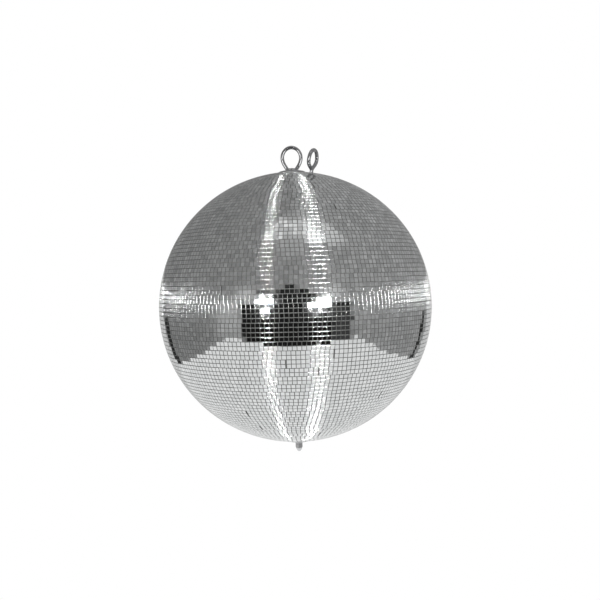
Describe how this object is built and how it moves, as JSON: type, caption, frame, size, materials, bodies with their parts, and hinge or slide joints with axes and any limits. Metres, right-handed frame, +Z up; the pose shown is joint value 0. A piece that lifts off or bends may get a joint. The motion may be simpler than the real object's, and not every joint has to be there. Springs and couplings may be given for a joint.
{
  "type": "mirror ball",
  "caption": "Ball covered with small flat mirrors that turns on a through axle below a hanging eye, with a second safety eye beside it.",
  "frame": {"origin": "the point inside the top of the main eye where a hook bears", "axes": "+Z up along the axle, +X along the flat of the main eye, +Y through its opening"},
  "size_m": [0.75, 0.75, 0.8511],
  "materials": {
    "mirror": "polished",
    "shell": "matte moulded",
    "steel": "plain rolled",
    "zinc": "bright zinc plated",
    "chrome": "bright plated",
    "nylon": "natural"
  },
  "bodies": {
    "hanger": {"main_eye": "chrome", "axle_rod": "zinc", "top_washer": "zinc", "bottom_washer": "zinc", "bottom_jam_nut": "zinc", "bottom_cap_nut": "chrome"},
    "ball": {"axle_tube": "steel", "bottom_bush": "nylon", "bottom_hub_plate": "steel", "bottom_inner_plate": "steel", "equator_ring": "shell", "lower_hub_screw_1": "zinc", "lower_hub_screw_2": "zinc", "lower_hub_screw_3": "zinc", "lower_shell": "shell", "mirror_band_lower_1": "mirror", "mirror_band_lower_2": "mirror", "mirror_band_lower_3": "mirror", "mirror_band_lower_4": "mirror", "mirror_band_lower_5": "mirror", "mirror_band_lower_6": "mirror", "mirror_band_upper_1": "mirror", "mirror_band_upper_2": "mirror", "mirror_band_upper_3": "mirror", "mirror_band_upper_4": "mirror", "mirror_band_upper_5": "mirror", "mirror_band_upper_6": "mirror", "top_bush": "nylon", "top_hub_plate": "steel", "top_inner_plate": "steel", "upper_hub_screw_1": "zinc", "upper_hub_screw_2": "zinc", "upper_hub_screw_3": "zinc", "upper_shell": "shell"},
    "safety_eye": {"safety_eye": "chrome", "safety_eye_washer": "zinc", "safety_eye_nut": "zinc"}
  },
  "joints": [
    {"name": "ball_spin", "type": "hinge", "parent": "hanger", "child": "ball", "pos_m": [0, 0, -0.4356], "axis": [0, 0, 1], "continuous": true},
    {"name": "safety_eye_swivel", "type": "hinge", "parent": "ball", "child": "safety_eye", "pos_m": [0.05254, -0.06374, -0.07313], "axis": [0.1389, -0.1685, 0.9759], "continuous": true}
  ]
}
